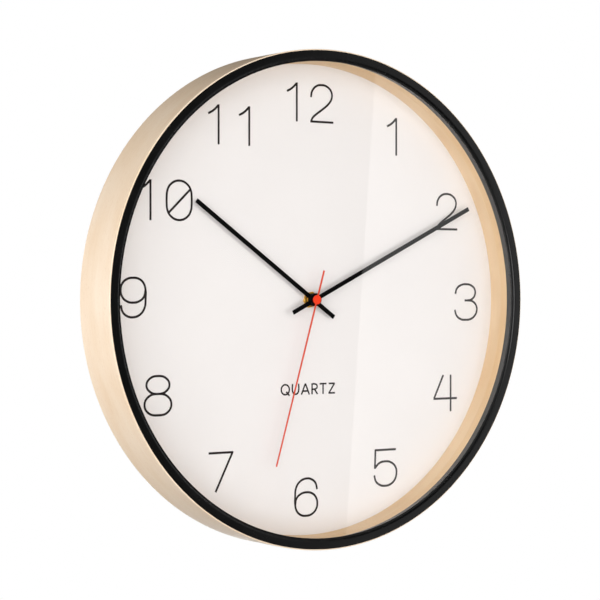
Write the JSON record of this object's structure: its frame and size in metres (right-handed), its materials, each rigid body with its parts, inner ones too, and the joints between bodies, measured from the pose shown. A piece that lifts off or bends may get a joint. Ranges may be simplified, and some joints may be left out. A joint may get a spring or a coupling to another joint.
{
  "type": "wall clock",
  "caption": "Round analogue wall clock: bent beech hoop, narrow black bezel, flat glass, white dial, straight hands and a geared quartz movement with its cell.",
  "frame": {"origin": "on the hand axis in the plane of the hoop's rear rim, which is the wall", "axes": "+Z to twelve o'clock, -Y out of the dial towards the reader, +X to three o'clock, +Y into the wall"},
  "size_m": [0.4, 0.0481, 0.4],
  "materials": {
    "beech": "clear matt lacquer on beech veneer, fine pale grain running round the hoop",
    "beech_lining": "clear matt lacquer on thin beech",
    "beech_block": "sawn beech, glued",
    "black_moulding": "satin black ABS moulding",
    "clear_glass": "flat float glass, polished",
    "white_dial": "matt warm white printed sheet",
    "fibreboard": "brown hardboard",
    "zinc_steel": "zinc-plated pressed steel",
    "black_rubber": "soft black rubber",
    "white_housing": "lightly textured white polystyrene",
    "brass": "turned brass",
    "board_laminate": "green solder mask on laminate",
    "bright_steel": "bright nickel-plated steel",
    "black_resin": "poured black resin",
    "electrical_steel": "annealed nickel-iron sheet",
    "natural_nylon": "natural nylon",
    "copper_wire": "enamelled copper wire",
    "cell_sleeve": "printed metal sleeve, plain grey",
    "black_lacquer": "matt black lacquer on aluminium",
    "natural_acetal": "natural acetal",
    "red_lacquer": "red lacquer on aluminium",
    "red_plastic": "satin red plastic",
    "sintered_magnet": "sintered magnet"
  },
  "bodies": {
    "case": {"case_hoop": "beech", "bezel_ring": "black_moulding", "lens_ring": "black_moulding", "lens": "clear_glass", "lining_ring": "beech_lining", "dial": "white_dial", "dial_board": "fibreboard", "corner_blocks": "beech_block", "hanger_block": "beech_block", "hanger_plate": "zinc_steel", "hanger_screws": "zinc_steel", "rubber_washer": "black_rubber", "movement_housing": "white_housing", "rear_cover": "white_housing", "threaded_stem": "brass", "stem_nut": "brass", "circuit_board": "board_laminate", "crystal": "bright_steel", "chip_cover": "black_resin", "stator": "electrical_steel", "coil_core": "electrical_steel", "coil_bobbin": "natural_nylon", "coil_winding": "copper_wire", "stator_screws": "bright_steel", "contact_positive": "bright_steel", "contact_negative": "bright_steel"},
    "minute_work": {"minute_hand": "black_lacquer", "minute_boss": "black_lacquer", "minute_tube": "brass", "centre_wheel": "natural_acetal"},
    "hour_work": {"hour_hand": "black_lacquer", "hour_wheel": "natural_acetal"},
    "second_work": {"second_hand": "red_lacquer", "second_cap": "red_plastic", "second_arbor": "bright_steel", "second_wheel": "natural_acetal"},
    "third": {"third_wheel": "natural_acetal"},
    "intermediate": {"intermediate_wheel": "natural_acetal"},
    "rotor": {"rotor_magnet": "sintered_magnet", "rotor_pinion": "natural_nylon"},
    "setting_works": {"works_wheel": "natural_acetal", "setting_knob": "white_housing"},
    "cell": {"cell": "cell_sleeve"}
  },
  "joints": [
    {"name": "minute_hand_turn", "type": "hinge", "parent": "case", "child": "minute_work", "pos_m": [0, 0, 0], "axis": [0, 1, 0], "continuous": true},
    {"name": "hour_hand_turn", "type": "hinge", "parent": "case", "child": "hour_work", "pos_m": [0, 0, 0], "axis": [0, 1, 0], "continuous": true},
    {"name": "second_hand_turn", "type": "hinge", "parent": "case", "child": "second_work", "pos_m": [0, 0, 0], "axis": [0, 1, 0], "continuous": true},
    {"name": "third_wheel_turn", "type": "hinge", "parent": "case", "child": "third", "pos_m": [-0.00831, 0, 0.0048], "axis": [0, 1, 0], "continuous": true},
    {"name": "intermediate_wheel_turn", "type": "hinge", "parent": "case", "child": "intermediate", "pos_m": [0.0092, 0, -0.00429], "axis": [0, 1, 0], "continuous": true},
    {"name": "rotor_turn", "type": "hinge", "parent": "case", "child": "rotor", "pos_m": [0.01543, 0, -0.00069], "axis": [0, 1, 0], "continuous": true},
    {"name": "setting_knob_turn", "type": "hinge", "parent": "case", "child": "setting_works", "pos_m": [0.00658, 0, 0.00731], "axis": [0, 1, 0], "continuous": true},
    {"name": "cell_pull", "type": "slide", "parent": "case", "child": "cell", "axis": [0, 1, 0], "range_m": [0, 0.02]}
  ],
  "couplings": [
    {"joint": "hour_hand_turn", "follows": "minute_hand_turn", "ratio": 0.083333},
    {"joint": "second_hand_turn", "follows": "minute_hand_turn", "ratio": 60},
    {"joint": "third_wheel_turn", "follows": "minute_hand_turn", "ratio": -7.5},
    {"joint": "intermediate_wheel_turn", "follows": "minute_hand_turn", "ratio": -360},
    {"joint": "rotor_turn", "follows": "minute_hand_turn", "ratio": 1800},
    {"joint": "setting_knob_turn", "follows": "minute_hand_turn", "ratio": -0.33333}
  ]
}
